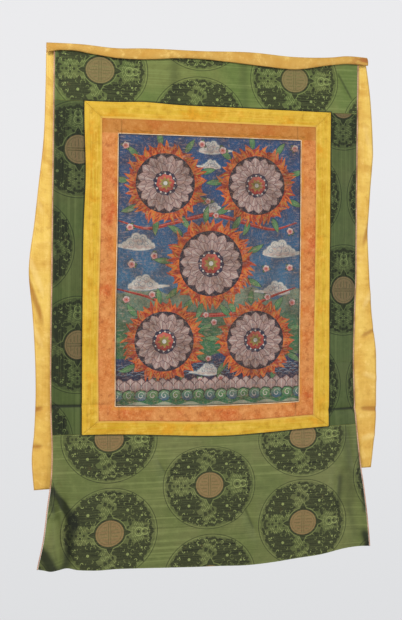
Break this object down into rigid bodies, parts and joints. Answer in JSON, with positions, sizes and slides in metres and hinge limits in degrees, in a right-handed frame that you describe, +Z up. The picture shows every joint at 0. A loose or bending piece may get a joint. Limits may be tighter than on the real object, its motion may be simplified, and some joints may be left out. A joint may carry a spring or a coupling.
{
  "type": "thangka scroll painting",
  "caption": "Hanging scroll: a painting on cloth framed by orange and yellow silk strips on a green brocade ground, with a thin yellow silk veil thrown back over the top edge",
  "frame": {"origin": "the middle of the top edge, where the cloth is held, on the wall's plane", "axes": "+Z up, +X to the right as seen from the front, the front faces -Y"},
  "size_m": [0.7735, 0.0288, 1.1168],
  "materials": {
    "veil": "thin plain yellow silk, softly creased, with a small rust stain at its right end",
    "ground": "green silk brocade with dark flower medallions in a half-drop repeat",
    "binding": "worn pinkish-beige edge",
    "yellow": "yellow silk, uneven dye, fine cross ribs",
    "orange": "orange silk, mottled and worn along its threads",
    "picture": "matt paint on sized cotton, cracked and rubbed",
    "cord": "cream twisted cotton"
  },
  "bodies": {
    "root": {"veil": "veil", "ground_top": "ground", "ground_left": "ground", "ground_right": "ground", "ground_bottom": "ground", "binding_left": "binding", "binding_right": "binding", "yellow_top": "yellow", "yellow_bottom": "yellow", "yellow_left": "yellow", "yellow_right": "yellow", "orange_top": "orange", "orange_bottom": "orange", "orange_left": "orange", "orange_right": "orange", "picture": "picture", "cord": "cord"}
  },
  "joints": []
}
